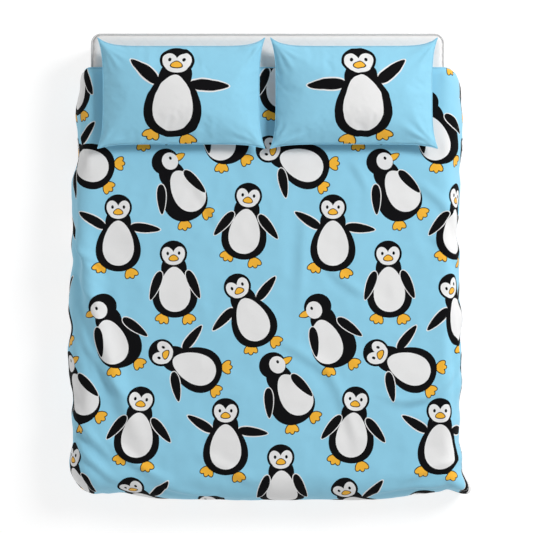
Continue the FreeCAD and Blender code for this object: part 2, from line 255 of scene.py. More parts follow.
def piece(name, verts, faces, materials, slots=None, flat=None):
    """A smooth-shaded mesh object. flat gives each vertex's place on the flat cloth, for its weave."""
    mesh = bpy.data.meshes.new(name)
    mesh.from_pydata(np.asarray(verts, float).tolist(), [], [list(map(int, f)) for f in faces])
    for material in materials:
        mesh.materials.append(material)
    if slots is not None:
        mesh.polygons.foreach_set("material_index", np.asarray(slots, dtype=np.int32))
    mesh.polygons.foreach_set("use_smooth", np.ones(len(mesh.polygons), dtype=bool))
    if flat is not None:
        uv = mesh.uv_layers.new(name="cloth")
        corner = np.zeros(len(mesh.loops), dtype=np.int32)
        mesh.loops.foreach_get("vertex_index", corner)
        uv.data.foreach_set("uv", np.asarray(flat, np.float32)[corner].ravel())
    mesh.update()
    made = bpy.data.objects.new(name, mesh)
    bpy.context.scene.collection.objects.link(made)
    return made


def thicken(made, thickness):
    """Gives a cloth panel its thickness, on its inner side."""
    shell = made.modifiers.new("thickness", "SOLIDIFY")
    shell.thickness = thickness
    shell.offset = -1
    shell.use_even_offset = False
    return made


def dress(made, body, node=None):
    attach(made, body)
    if node:
        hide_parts(node)


def shell(name, top, bottom, faces, material, flat):
    """A closed solid between two surfaces that share their triangles, joined round their edge."""
    faces = np.asarray(faces)
    count = len(top)
    edges = np.concatenate([faces[:, [0, 1]], faces[:, [1, 2]], faces[:, [2, 0]]])
    twins = {(int(a), int(b)) for a, b in edges}
    rim = sorted((a, b) for a, b in twins if (b, a) not in twins)
    solid = [tuple(f) for f in faces]
    solid += [tuple(f[::-1] + count) for f in faces]
    solid += [(b, a, a + count, b + count) for a, b in rim]
    return piece(name, np.concatenate([top, bottom]), solid, [material], None, np.concatenate([flat, flat]))


def tube(path, radius, sides=8, closed=False):
    """Vertices and faces of a round tube along a path of points."""
    path = np.asarray(path, float)
    if closed:
        ahead = np.roll(path, -1, 0) - np.roll(path, 1, 0)
    else:
        ahead = np.gradient(path, axis=0)
    ahead /= np.linalg.norm(ahead, axis=1)[:, None]
    across = np.cross(ahead, [0.0, 0.0, 1.0])
    steep = np.linalg.norm(across, axis=1) < 0.2
    across[steep] = np.cross(ahead[steep], [1.0, 0.0, 0.0])
    across /= np.linalg.norm(across, axis=1)[:, None]
    up = np.cross(across, ahead)
    turn = np.linspace(0, 2 * math.pi, sides, endpoint=False)
    rings = [path + radius * (math.cos(a) * across + math.sin(a) * up) for a in turn]
    verts = np.stack(rings, 1).reshape(-1, 3)
    count = len(path)
    faces = []
    for j in range(count if closed else count - 1):
        k = (j + 1) % count
        for i in range(sides):
            n = (i + 1) % sides
            faces.append((j * sides + i, k * sides + i, k * sides + n, j * sides + n))
    if not closed:
        faces.append(tuple(range(sides)))
        faces.append(tuple(reversed(range((count - 1) * sides, count * sides))))
    return verts, faces


def ring_faces(rings, count):
    """Faces of a wall between rings of count points each."""
    faces = []
    for j in range(rings - 1):
        for i in range(count):
            n = (i + 1) % count
            faces.append((j * count + i, j * count + n, (j + 1) * count + n, (j + 1) * count + i))
    return faces


class Surface:
    """A smooth surface through a regular grid of points, read by place on the flat cloth."""

    CATMULL_ROM = np.array([[0, 2, 0, 0], [-1, 0, 1, 0], [2, -5, 4, -1], [-1, 3, -3, 1]]) / 2

    def __init__(self, xs, ys, points):
        self.start = (xs[0], ys[0])
        self.step = (xs[1] - xs[0], ys[1] - ys[0])
        grid = np.asarray(points, float)
        for _ in range(2):
            grid = np.concatenate([2 * grid[:1] - grid[1:2], grid, 2 * grid[-1:] - grid[-2:-1]])
            grid = grid.swapaxes(0, 1)
        self.grid = grid

    def _cell(self, place, axis):
        """Each place's cell along one axis, and the weights and slopes of the four points round it."""
        count = self.grid.shape[1 - axis] - 2
        f = np.clip((np.asarray(place, float) - self.start[axis]) / self.step[axis], 0, count - 1)
        cell = np.minimum(f.astype(int), count - 2)
        t = f - cell
        weights = np.stack([t**0, t, t**2, t**3], -1) @ self.CATMULL_ROM
        slopes = np.stack([t * 0, t**0, 2 * t, 3 * t**2], -1) @ self.CATMULL_ROM
        return cell, weights, slopes / self.step[axis]

    def at(self, x, y):
        """Points and unit normals at flat places x and y."""
        i, wx, sx = self._cell(x, 0)
        j, wy, sy = self._cell(y, 1)
        point, along_x, along_y = np.zeros((3, len(i), 3))
        for b in range(4):
            for a in range(4):
                near = self.grid[j + b, i + a]
                point += (wy[:, b] * wx[:, a])[:, None] * near
                along_x += (wy[:, b] * sx[:, a])[:, None] * near
                along_y += (sy[:, b] * wx[:, a])[:, None] * near
        normal = np.cross(along_x, along_y)
        normal /= np.maximum(np.linalg.norm(normal, axis=1), 1e-9)[:, None]
        return point, normal


def between(upper, lower, x, y):
    """Points halfway between two surfaces."""
    return (upper.at(x, y)[0] + lower.at(x, y)[0]) / 2


# ==== Flat patterns
def rounded_outline(low, high, radii, spacing):
    """Points round a rectangle with rounded corners. The radii start at the bottom left, anticlockwise."""
    points = []
    for k, radius in enumerate(radii):
        centre_x = high[0] - radius if k in (1, 2) else low[0] + radius
        centre_y = high[1] - radius if k > 1 else low[1] + radius
        steps = max(3, int(radius * math.pi / 2 / spacing))
        for step in range(steps + 1):
            a = math.pi + k * math.pi / 2 + step / steps * math.pi / 2
            points.append((centre_x + radius * math.cos(a), centre_y + radius * math.sin(a)))
    dense = []
    for a, b in zip(points, points[1:] + points[:1]):
        count = max(1, round(math.dist(a, b) / spacing))
        for step in range(count):
            t = step / count
            dense.append((a[0] + (b[0] - a[0]) * t, a[1] + (b[1] - a[1]) * t))
    return dense


def edge_distance(x, y, low, high, radii):
    """Distance from each flat place to the edge of the rounded rectangle, positive inside."""
    middle = ((low[0] + high[0]) / 2, (low[1] + high[1]) / 2)
    half = ((high[0] - low[0]) / 2, (high[1] - low[1]) / 2)
    right, top = x > middle[0], y > middle[1]
    radius = np.where(top, np.where(right, radii[2], radii[3]), np.where(right, radii[1], radii[0]))
    qx = np.abs(x - middle[0]) - half[0] + radius
    qy = np.abs(y - middle[1]) - half[1] + radius
    outside = np.hypot(np.maximum(qx, 0), np.maximum(qy, 0))
    return radius - outside - np.minimum(np.maximum(qx, qy), 0)


def pattern(outline, spacing, shapes=()):
    """Cuts a flat pattern into triangles, with every shape's outline in it. A shape is (points, ink), and
    later shapes are printed over earlier ones. Gives the flat places, the triangles and their inks."""
    outline = np.asarray(outline, float)
    low, high = outline.min(0), outline.max(0)
    marks = [outline] + [np.asarray(points, float) for points, _ in shapes]
    row_height = spacing * 0.866
    columns = int((high[0] - low[0]) / spacing) + 1
    inner = []
    for j in range(int((high[1] - low[1]) / row_height) + 1):
        y = low[1] + (j + 0.5) * row_height
        shift = 0.25 if j % 2 else 0.75
        inner.extend((low[0] + (i + shift) * spacing, y) for i in range(columns))
    inner = np.array(inner)
    cell = spacing * 0.45
    taken = {(int(a), int(b)) for a, b in np.floor(np.concatenate(marks) / cell)}
    keys = np.floor(inner / cell).astype(int)
    free = [all((a + i, b + j) not in taken for i in (-1, 0, 1) for j in (-1, 0, 1)) for a, b in keys]
    points = np.concatenate([*marks, inner[free]])
    loops, start = [], 0
    for mark in marks:
        loops.append(list(range(start, start + len(mark))))
        start += len(mark)
    made = geometry.delaunay_2d_cdt([Vector(p) for p in points], [], loops, 1, 1e-7)
    flat = np.array([tuple(p) for p in made[0]])
    faces, inks = [], []
    for face, sources in zip(made[2], made[5]):
        if 0 in sources:
            printed = max(sources)
            faces.append(face)
            inks.append(SKY if printed == 0 else shapes[printed - 1][1])
    used = np.unique(np.array(faces))
    renumber = np.full(len(flat), -1)
    renumber[used] = np.arange(len(used))
    return flat[used], renumber[np.array(faces)], np.array(inks)


# ==== The printed bird
def oval(cx, cy, rx, ry, tilt=0.0, taper=0.0):
    """An ellipse that narrows towards its upper end by taper, turned by tilt degrees about its centre."""
    steps = round(OVAL_FINENESS * math.sqrt(max(rx, ry)))
    points = []
    c, s = math.cos(math.radians(tilt)), math.sin(math.radians(tilt))
    for k in range(steps):
        a = 2 * math.pi * k / steps
        y = math.sin(a)
        x = math.cos(a) * (1 - taper * y)
        points.append((cx + rx * x * c - ry * y * s, cy + rx * x * s + ry * y * c))
    return points


def flipper(shoulder, angle, side, grow=0.0):
    """A flipper from the shoulder, hanging at angle 0 and raised sideways as the angle grows."""
    a = math.radians(angle)
    out = (side * math.sin(a), -math.cos(a))
    middle = (shoulder[0] + out[0] * 0.15, shoulder[1] + out[1] * 0.15)
    tilt = math.degrees(math.atan2(out[1], out[0])) - 90
    return oval(middle[0], middle[1], 0.050 + grow, 0.175 + grow, tilt, taper=0.30)


def foot(x, y, turn, grow=0.0):
    """A webbed foot: three rounded toes that share a heel."""
    toes = []
    for spread in (-38, 0, 38):
        a = math.radians(turn + spread)
        middle = (x + 0.054 * math.sin(a), y - 0.044 * math.cos(a))
        toes.append(oval(*middle, 0.030 + grow, 0.058 + grow, turn + spread + 180))
    return toes


def beak(x, y, rx, ry, tilt=0.0):
    layers = ((INK_WIDTH, BLACK), (0.0, ORANGE))
    return [(oval(x, y, rx + grow, ry + grow, tilt, 0.35), ink) for grow, ink in layers]


def front_face(head):
    """Pale cheeks, two eyes and a beak, seen from the front."""
    x, y = head
    shapes = [(oval(x + side * 0.062, y - 0.014, 0.070, 0.096, side * -16), WHITE) for side in (-1, 1)]
    shapes.append((oval(x, y - 0.068, 0.104, 0.064), WHITE))
    shapes += [(oval(x + side * 0.066, y + 0.004, 0.0155, 0.021), BLACK) for side in (-1, 1)]
    return shapes + beak(x, y - 0.050, 0.048, 0.031)


def side_face(head, look):
    """One cheek, one eye and the beak, seen from the side."""
    x, y = head
    cheek = oval(x + look * 0.052, y - 0.022, 0.092, 0.102)
    eye = oval(x + look * 0.072, y + 0.006, 0.0155, 0.021)
    return beak(x + look * 0.178, y - 0.032, 0.032, 0.058, -90 * look) + [(cheek, WHITE), (eye, BLACK)]


def bird(pose):
    """The shapes of one bird, about one unit tall and centred on its body, from the lowest to the topmost."""
    look = pose.get("look", 0)
    lean = pose.get("lean", 0.0)
    head = (lean + 0.02 * look, 0.325)
    shapes = []
    feet = [(-0.135 - pose.get("step", 0.0), -0.385 + pose.get("lift", 0.0), -22), (0.130, -0.40, 22)]
    for grow, ink in ((INK_WIDTH, BLACK), (0.0, ORANGE)):
        for x, y, turn in feet:
            shapes += [(toe, ink) for toe in foot(x, y, turn, grow)]
    sides = ((-1, "left"), (1, "right"))
    wings = [((side * 0.165 + lean * 0.5, 0.10), pose[name], side) for side, name in sides]

    def flippers(raised, rim):
        for wing in wings:
            if (wing[1] >= RAISED) == raised:
                shapes.extend([(flipper(*wing, grow=rim), WHITE), (flipper(*wing), BLACK)])

    flippers(True, 1.3 * INK_WIDTH)
    shapes.append((oval(0, -0.115, 0.258, 0.305, taper=0.20), BLACK))
    shapes.append((oval(head[0] * 0.6, 0.15, 0.150, 0.17), BLACK))
    shapes.append((oval(*head, 0.160, 0.152), BLACK))
    shapes.append((oval(0.07 * look, -0.090, 0.178, 0.262, tilt=4 * look, taper=0.22), WHITE))
    shapes += side_face(head, look) if look else front_face(head)
    flippers(False, INK_WIDTH)
    return shapes


def finer(points):
    """Adds a point halfway along each side of an outline, on the smooth curve through its neighbours."""
    p = np.array(points)
    halfway = (9 * (p + np.roll(p, -1, 0)) - np.roll(p, 1, 0) - np.roll(p, -2, 0)) / 16
    return np.stack([p, halfway], 1).reshape(-1, 2).tolist()


def place_shapes(shapes, centre, size, turn, mirrored=False):
    c, s = math.cos(math.radians(turn)), math.sin(math.radians(turn))
    flip = -1 if mirrored else 1
    placed = []
    for points, ink in shapes:
        moved = [(flip * x * size, y * size) for x, y in points]
        turned = [(centre[0] + x * c - y * s, centre[1] + x * s + y * c) for x, y in moved]
        placed.append((turned[::flip], ink))
    return placed


def duvet_print(low, high):
    """Every bird of the half-drop repeat that reaches onto the duvet."""
    shapes = []
    reach = 0.6 * BIRD_HEIGHT
    for row in range(-3, 4):
        for column in range(-4, 5):
            for place, turn, pose in BIRDS:
                x = place[0] + column * REPEAT_X + row * REPEAT_SHIFT[0]
                y = place[1] + row * REPEAT_SHIFT[1]
                if low[0] - reach < x < high[0] + reach and low[1] - reach < y < high[1] + reach:
                    shapes += place_shapes(bird(pose), (x, y), BIRD_HEIGHT, turn)
    return shapes


# ==== Materials
class Nodes:
    """A material's node tree, built by short calls. An input is fed a socket, a number or a colour."""

    def __init__(self, name):
        self.material = bpy.data.materials.new(name)
        self.material.use_nodes = True
        self.tree = self.material.node_tree

    def feed(self, node, inputs):
        for key, value in inputs.items():
            socket = node.inputs[key]
            if isinstance(value, bpy.types.NodeSocket):
                self.tree.links.new(value, socket)
            else:
                socket.default_value = (*value, 1.0) if socket.type == "RGBA" else value

    def add(self, kind, inputs, **settings):
        node = self.tree.nodes.new("ShaderNode" + kind)
        for key, value in settings.items():
            setattr(node, key, value)
        self.feed(node, inputs)
        return node.outputs

    def math(self, operation, *values):
        return self.add("Math", dict(enumerate(values)), operation=operation)[0]

    def mix(self, share, a, b):
        return self.add("Mix", {0: share, 6: a, 7: b}, data_type="RGBA")[2]

    def scaled(self, vector, scale):
        return self.add("Mapping", {"Vector": vector, "Scale": scale})[0]

    def noise(self, vector, scale, detail=3.0, roughness=0.5):
        inputs = {"Vector": vector, "Scale": scale, "Detail": detail, "Roughness": roughness}
        return self.add("TexNoise", inputs)[0]

    def span(self, value, low, high, to_low, to_high):
        inputs = {"Value": value, "From Min": low, "From Max": high, "To Min": to_low, "To Max": to_high}
        return self.add("MapRange", inputs)[0]

    def waves(self, vector, length, join):
        """Waves of that half length along X and along Y, joined by a math operation."""
        split = self.add("SeparateXYZ", {0: self.scaled(vector, (math.pi / length,) * 3)})
        return self.math(join, self.math("SINE", split[0]), self.math("SINE", split[1]))

    def space(self):
        return self.add("TexCoord", {})["Object"]

    def shade(self, levels):
        self.feed(self.tree.nodes["Principled BSDF"], levels)
        return self.material

    def finish(self, colour, roughness, height, strength, distance, levels=None):
        """Feeds the shader's colour, roughness, bump and other levels, and gives the material."""
        bump = self.add("Bump", {"Strength": strength, "Distance": distance, "Height": height})[0]
        return self.shade({"Base Color": colour, "Roughness": roughness, "Normal": bump, **(levels or {})})


def darker(colour, share):
    return tuple(c * share for c in colour)


def woven(name, colour, thread=0.0007, sheen=0.15, shade=0.93, on_flat=True, specular=0.25):
    """Plain-woven cotton: crossing threads, slubs along them, and a faint unevenness of the dye."""
    n = Nodes(name)
    place = n.add("UVMap", {}, uv_map="cloth")[0] if on_flat else n.space()
    weave = n.span(n.waves(place, thread, "MULTIPLY"), -1, 1, 0, 1)
    slubs = [n.noise(n.scaled(place, run), 1.0, 4.0) for run in ((60, 900, 60), (900, 60, 60))]
    slubs = n.math("ADD", *slubs)
    dye = n.noise(n.space(), 3.5, 4.0, 0.6)
    tone = n.math("ADD", n.math("MULTIPLY", slubs, 0.30), n.math("MULTIPLY", dye, 0.55))
    tone = n.math("ADD", tone, n.math("MULTIPLY", weave, 0.15))
    dyed = n.mix(n.span(tone, 0.40, 0.85, 0, 1), darker(colour, shade), colour)
    return n.finish(dyed, n.span(dye, 0, 1, 0.81, 0.91), n.math("ADD", weave, slubs), 0.35, thread * 0.35,
                    {"Sheen Weight": sheen, "Sheen Roughness": 0.5, "Specular IOR Level": specular})


def knitted(name, colour):
    """Mattress ticking: a fine knit with a raised jacquard of small lozenges."""
    n = Nodes(name)
    place = n.space()
    loops = n.waves(place, 0.0016, "MULTIPLY")
    figure = n.span(n.math("ABSOLUTE", n.waves(place, 0.03, "ADD")), 0.15, 0.45, 0, 1)
    fuzz = n.noise(place, 240.0)
    cloud = n.noise(place, 4.0)
    height = n.math("ADD", figure, n.math("MULTIPLY", fuzz, 0.3))
    height = n.math("ADD", n.math("MULTIPLY", loops, 0.25), height)
    share = n.math("ADD", n.math("MULTIPLY", figure, 0.5), n.math("MULTIPLY", cloud, 0.5))
    return n.finish(n.mix(share, darker(colour, 0.955), colour), n.span(fuzz, 0, 1, 0.78, 0.92), height,
                    0.3, 0.0006, {"Sheen Weight": 0.1})


def foam(name, colour):
    """Open-cell foam, yellowed in places."""
    n = Nodes(name)
    cells = n.add("TexVoronoi", {"Vector": n.space(), "Scale": 700.0}, feature="F1")["Distance"]
    age = n.noise(n.space(), 5.0)
    tone = n.mix(n.span(cells, 0.1, 0.7, 0, 1), darker(colour, 0.82), colour)
    yellowed = (colour[0], colour[1] * 0.93, colour[2] * 0.78)
    tone = n.mix(n.span(age, 0.35, 0.7, 0, 0.35), tone, yellowed)
    return n.finish(tone, n.span(age, 0, 1, 0.85, 0.97), cells, 0.5, 0.0008)


def fibre(name, colour):
    """Loose polyester wadding."""
    n = Nodes(name)
    strands = n.noise(n.scaled(n.space(), (40, 300, 120)), 1.0, 6.0, 0.7)
    clumps = n.noise(n.space(), 25.0, 4.0)
    return n.finish(n.mix(clumps, darker(colour, 0.9), colour), n.span(strands, 0, 1, 0.8, 1.0),
                    n.math("ADD", strands, clumps), 0.6, 0.002, {"Sheen Weight": 0.4})


def cast_metal(name, colour):
    """Die-cast zip metal: satin, with fine polishing lines and darker, rubbed recesses."""
    n = Nodes(name)
    lines = n.noise(n.scaled(n.space(), (300, 9000, 3000)), 1.0)
    wear = n.span(n.noise(n.space(), 600.0, 4.0), 0.35, 0.7, 0, 1)
    return n.finish(n.mix(wear, darker(colour, 0.75), colour), n.span(lines, 0, 1, 0.22, 0.42), lines,
                    0.15, 0.00005, {"Metallic": 1.0})


def nylon(name, colour):
    n = Nodes(name)
    grain = n.noise(n.space(), 1500.0)
    return n.finish(n.mix(grain, darker(colour, 0.85), colour), n.span(grain, 0, 1, 0.35, 0.5), grain,
                    0.1, 0.00005)


def glowing(name, base, glow, levels=None):
    """Plain white studio paint. It glows a little, so that it stays white beside the lit cloth."""
    glows = {"Emission Color": (1, 1, 1), "Emission Strength": glow}
    return Nodes(name).shade({"Base Color": (base,) * 3, **glows, **(levels or {})})


SKY_BLUE = (0.275, 0.615, 0.80)
CLOTH_WHITE = (0.80, 0.80, 0.80)
INK_BLACK = (0.006, 0.006, 0.007)
INK_ORANGE = (0.90, 0.46, 0.035)
MATTRESS_WHITE = (0.80, 0.79, 0.785)
PRINT = [woven("cotton_sky", SKY_BLUE), woven("cotton_white", CLOTH_WHITE),
         woven("cotton_black", INK_BLACK, sheen=0.0, shade=0.6, specular=0.06),
         woven("cotton_orange", INK_ORANGE)]
LINING_COTTON = woven("cotton_lining", (0.82, 0.83, 0.84))
PILLOW_BACK_COTTON = woven("cotton_pillow_back", SKY_BLUE)
SEAM_COTTON = woven("cotton_seam", darker(SKY_BLUE, 0.96), on_flat=False)
TICKING = woven("cotton_ticking", (0.86, 0.86, 0.85), thread=0.0005)
TAPE_WEAVE = woven("zip_tape_weave", darker(SKY_BLUE, 0.95), thread=0.0006, on_flat=False)
KNIT = knitted("mattress_knit_white", MATTRESS_WHITE)
BORDER_KNIT = knitted("mattress_border_knit", darker(MATTRESS_WHITE, 0.98))
PIPING_TAPE = woven("mattress_edge_tape", darker(MATTRESS_WHITE, 0.78), thread=0.0009, on_flat=False)
BASE_CLOTH = woven("mattress_base_cloth", (0.55, 0.56, 0.58), thread=0.0015, on_flat=False)
WADDING = fibre("wadding_white", (0.88, 0.88, 0.87))
ZIP_METAL = cast_metal("zip_metal_satin", (0.78, 0.79, 0.80))
ZIP_NYLON = nylon("zip_coil_nylon", darker(SKY_BLUE, 0.9))
FOAMS = {
    "mattress_support_foam": foam("foam_support", (0.80, 0.79, 0.74)),
    "mattress_transition_foam": foam("foam_transition", (0.72, 0.80, 0.84)),
    "mattress_comfort_foam": foam("foam_comfort", (0.88, 0.86, 0.78)),
}


# ==== The duvet
def bend_place(x, y):
    """For flat places: the nearest point of the line where the duvet starts to bend, the outward direction
    there, the turn round the corner, and the length past that line as a share of the whole hanging length."""
    side = np.maximum(np.abs(x) - (FLAT_X - CORNER_BEND), 0)
    foot_side = np.maximum(FLAT_FOOT + CORNER_BEND - y, 0)
    reach = np.hypot(side, foot_side)
    past = np.maximum(reach - CORNER_BEND, 0)
    safe = np.maximum(reach, 1e-9)
    out = np.stack([np.sign(x) * side / safe, -foot_side / safe], -1)
    turn = np.arctan2(foot_side, side)
    corner = HANGING + CORNER_BEND
    c, s = np.cos(turn), np.sin(turn)
    straight = corner / np.maximum(c, s)
    radius = np.where(x > 0, CORNER_TIP, CORNER_CUT)
    centre = corner - radius
    along = centre * (c + s)
    rounded = along + np.sqrt(np.maximum(along**2 - 2 * centre**2 + radius**2, 0))
    whole = np.where(np.minimum(c, s) * straight > centre, rounded, straight) - CORNER_BEND
    base = np.stack([x, y], -1) - out * past[:, None]
    return base, out, turn, np.clip(past / whole, 0, 1)


def stands_out(base, turn, right):
    """How far the bulge and the hem stand out, and how high the hem hangs, for places on the bend line. The
    sides wave a little, and the hem turns in under the bulge, except along the zip and at the corners."""
    x, y = base[:, 0], base[:, 1]
    share = np.sin(turn) ** 2
    side = np.where(right, through(RIGHT_BULGE, y), through(LEFT_BULGE, y))
    side = side + 0.004 * np.sin(y * 23 + 1.7 * right) + 0.003 * np.sin(y * 41 + right)
    bulge = side * (1 - share) + through(FOOT_BULGE, x) * share
    at_zip = bell(np.maximum(np.abs(x) - ZIP_STRAIGHT, 0), 0, 0.07) * share
    hem = bulge * (HEM_SHARE - 0.06 * at_zip)
    hem = hem + at_zip * (FLAT_FOOT - ZIP_Y - hem)
    in_corner = (turn > 0) & (turn < math.pi / 2)
    beside = np.where(turn <= 0, y - (FLAT_FOOT + CORNER_BEND), FLAT_X - CORNER_BEND - np.abs(x))
    past_corner = np.where(in_corner, 0, np.maximum(beside, 0))
    flare, peak, spread = (np.where(right, b, a) for a, b in zip(*CORNER_SHAPES))
    near = bell(turn, np.radians(peak), np.radians(spread)) * bell(past_corner, 0, 0.045)
    bulge = bulge + (flare - bulge) * near
    hem = hem + (flare + 0.012 - hem) * near
    pleat = CORNER_PLEAT * np.where(in_corner, 0, bell(past_corner, 0.085, 0.035))
    lift = 0.004 * np.sin(y * 19 + 2.0) * (1 - share) + HEM_LIFT
    height = HEM + (1 - at_zip) * (lift - 0.016 * near)
    return bulge - pleat * 0.5, hem - pleat, height


def along_curve(points, share):
    """Places on one Bezier curve per row, at that share of each curve's length. points is rows x 4 x 2."""
    steps = np.linspace(0, 1, 33)
    weights = np.stack([(1 - steps) ** 3, 3 * steps * (1 - steps) ** 2, 3 * steps**2 * (1 - steps), steps**3])
    line = np.einsum("ks,rkd->rsd", weights, points)
    pieces = np.linalg.norm(np.diff(line, axis=1), axis=2)
    length = np.concatenate([np.zeros((len(line), 1)), np.cumsum(pieces, 1)], 1)
    wanted = share * length[:, -1]
    k = np.clip((length < wanted[:, None]).sum(1) - 1, 0, len(steps) - 2)
    rows = np.arange(len(line))
    t = (wanted - length[rows, k]) / np.maximum(length[rows, k + 1] - length[rows, k], 1e-9)
    return line[rows, k] + (line[rows, k + 1] - line[rows, k]) * np.clip(t, 0, 1)[:, None]


def duvet_layers(x, y):
    """Where the cover's face and lining hang for flat places x and y, before the seams draw them together."""
    base, out, turn, share = bend_place(x, y)
    bulge, hem, height = stands_out(base, turn, x > 0)
    layers = []
    for top, outward, third_drop in (
            (FACE_TOP, (0, FACE_CURVE[0] * bulge, FACE_CURVE[1] * bulge, hem + HEM_HALF), FACE_CURVE[2]),
            (LINING_TOP, (0, 1.5 * LINING_BEND, LINING_CLEARANCE, hem - HEM_HALF), 0.2)):
        curve = np.zeros((len(x), 4, 2))
        for k, far in enumerate(outward):
            curve[:, k, 0] = far
        curve[:, 2, 1] = third_drop * (top - height)
        curve[:, 3, 1] = top - height
        hung = along_curve(curve, share)
        layers.append(np.column_stack([base + out * hung[:, :1], top - hung[:, 1]]))
    return layers


def creased(x, y):
    """How high the creases stand: each is a ridge with a shallow valley beside it, and fades at both ends."""
    total = np.zeros_like(x)
    for start, end, bow, width, height in CREASES:
        ax, ay = end[0] - start[0], end[1] - start[1]
        length = math.hypot(ax, ay)
        ax, ay = ax / length, ay / length
        along = ((x - start[0]) * ax + (y - start[1]) * ay) / length
        across = -(x - start[0]) * ay + (y - start[1]) * ax - 4 * bow * along * (1 - along)
        envelope = smooth_step(0.0, 0.35, along) * (1 - smooth_step(0.6, 1.0, along))
        ridge = bell(across, 0, width) - 0.55 * bell(across, -1.7 * width, 1.2 * width)
        total += CREASE_STRENGTH * height * envelope * ridge
    return total


def puff(x, y):
    """Unevenness of the stuffed face: pressed level under the pillows."""
    where = np.stack([x, y, np.zeros_like(x)], -1)
    rise = ripple(where, 0.26, 1) * 0.0055 + ripple(where, 0.11, 2) * 0.0030
    for height, stretch, scale, seed in CRUMPLES:
        rise += height * (0.35 - np.abs(ripple(where * np.array(stretch), scale, seed)))
    under_pillow = smooth_step(0.40, 0.47, y) * (1 - smooth_step(0.78, 0.80, np.abs(x)))
    return (rise + creased(x, y)) * (1 - under_pillow)


def duvet_surfaces():
    """Smooth surfaces of the cover's face and lining, drawn together at seams, and of the wadding's top."""
    xs, ys = (np.linspace(*side) for side in zip(DUVET_LOW, DUVET_HIGH, DUVET_GRID))
    gx, gy = (g.ravel() for g in np.meshgrid(xs, ys))
    face, lining = duvet_layers(gx, gy)
    inside = edge_distance(gx, gy, DUVET_LOW, DUVET_HIGH, DUVET_RADII)
    t = np.clip(inside / SEAM_TAPER, 0, 1)
    full = np.sqrt(np.maximum(1 - (1 - t) ** 2, 0))
    at_zip = (1 - smooth_step(ZIP_HALF, ZIP_HALF + ZIP_TAPER, np.abs(gx))) * (gy < 0)
    apart = (full + (1 - full) * at_zip)[:, None]
    middle = (face + lining) / 2
    half = (face - lining) / 2 * (CLOSED + (1 - CLOSED) * apart)
    shape = (len(ys), len(xs), 3)
    face, lining = (middle + half).reshape(shape), (middle - half).reshape(shape)
    _, normal = Surface(xs, ys, face).at(gx, gy)
    normal = normal.reshape(shape)
    apart = np.linalg.norm(face - lining, axis=-1)
    swell = np.maximum((puff(gx, gy) * full).reshape(shape[:2]), -CREASE_LIMIT * apart)
    low_swell = -spread_out(-swell, 2)
    inner = np.clip(low_swell - WADDING_DEPTH, -WADDING_LIMIT * apart, 0)
    wadding = face + normal * inner[..., None]
    return [Surface(xs, ys, points) for points in (face + normal * swell[..., None], lining, wadding)]


def duvet_panel(name, surface, up, spacing, shapes, materials):
    """One panel of the cover. up says which way the finished side of the cloth faces on the flat."""
    outline = rounded_outline(DUVET_LOW, DUVET_HIGH, DUVET_RADII, spacing)
    flat, faces, inks = pattern(outline, spacing, shapes)
    verts, _ = surface.at(flat[:, 0], flat[:, 1])
    return thicken(piece(name, verts, faces[:, ::up], materials, inks, flat), COTTON)


def duvet_seam(face, lining):
    """The sewn edge, all round except along the zip."""
    outline = np.array(rounded_outline(DUVET_LOW, DUVET_HIGH, DUVET_RADII, 0.012))
    at_zip = (np.abs(outline[:, 0]) < ZIP_HALF + 0.02) & (outline[:, 1] < DUVET_LOW[1] + 0.01)
    first = np.flatnonzero(at_zip)[-1] + 1
    order = np.roll(np.arange(len(outline)), -first)
    sewn = outline[[k for k in order if not at_zip[k]]]
    verts, faces = tube(between(face, lining, *sewn.T), SEAM_RADIUS)
    return piece("duvet_cover_seam", verts, faces, [SEAM_COTTON])


def zip_end_tabs(face, lining):
    """A tab at each end of the zip, which closes the mouth where the sewn edge begins."""
    verts, faces = [], []
    for side in (-1, 1):
        x = side * np.linspace(ZIP_HALF - 0.001, ZIP_HALF + ZIP_TAPER, 9)
        y = np.full_like(x, DUVET_LOW[1])
        start = len(verts)
        verts += list(face.at(x, y)[0]) + list(lining.at(x, y)[0])
        for k in range(start, start + len(x) - 1):
            faces.append((k, k + len(x), k + len(x) + 1, k + 1)[::side])
    tabs = thicken(piece("duvet_zip_end_tabs", verts, faces, [SEAM_COTTON]), 0.0008)
    dress(tabs, "duvet")


def duvet_wadding(top, lining):
    """The duvet inside the cover, stitched through in boxes."""
    low = [place + WADDING_INSET for place in DUVET_LOW]
    high = [place - WADDING_INSET for place in DUVET_HIGH]
    flat, faces, _ = pattern(rounded_outline(low, high, DUVET_RADII, WADDING_SPACING), WADDING_SPACING)
    x, y = flat[:, 0], flat[:, 1]
    above, _ = top.at(x, y)
    below, _ = lining.at(x, y)
    stitched = np.minimum(*(np.abs(np.sin(place * math.pi / STITCHED_BOX)) for place in (x, y)))
    full = QUILTED_FILL[0] - QUILTED_FILL[1] * (1 - smooth_step(0, 0.3, stitched))
    middle = (above + below) / 2
    half = (above - below) / 2 * full[:, None]
    return shell("duvet_wadding", middle + half, middle - half, faces, WADDING, flat)


def unit(vector):
    return vector / np.linalg.norm(vector)


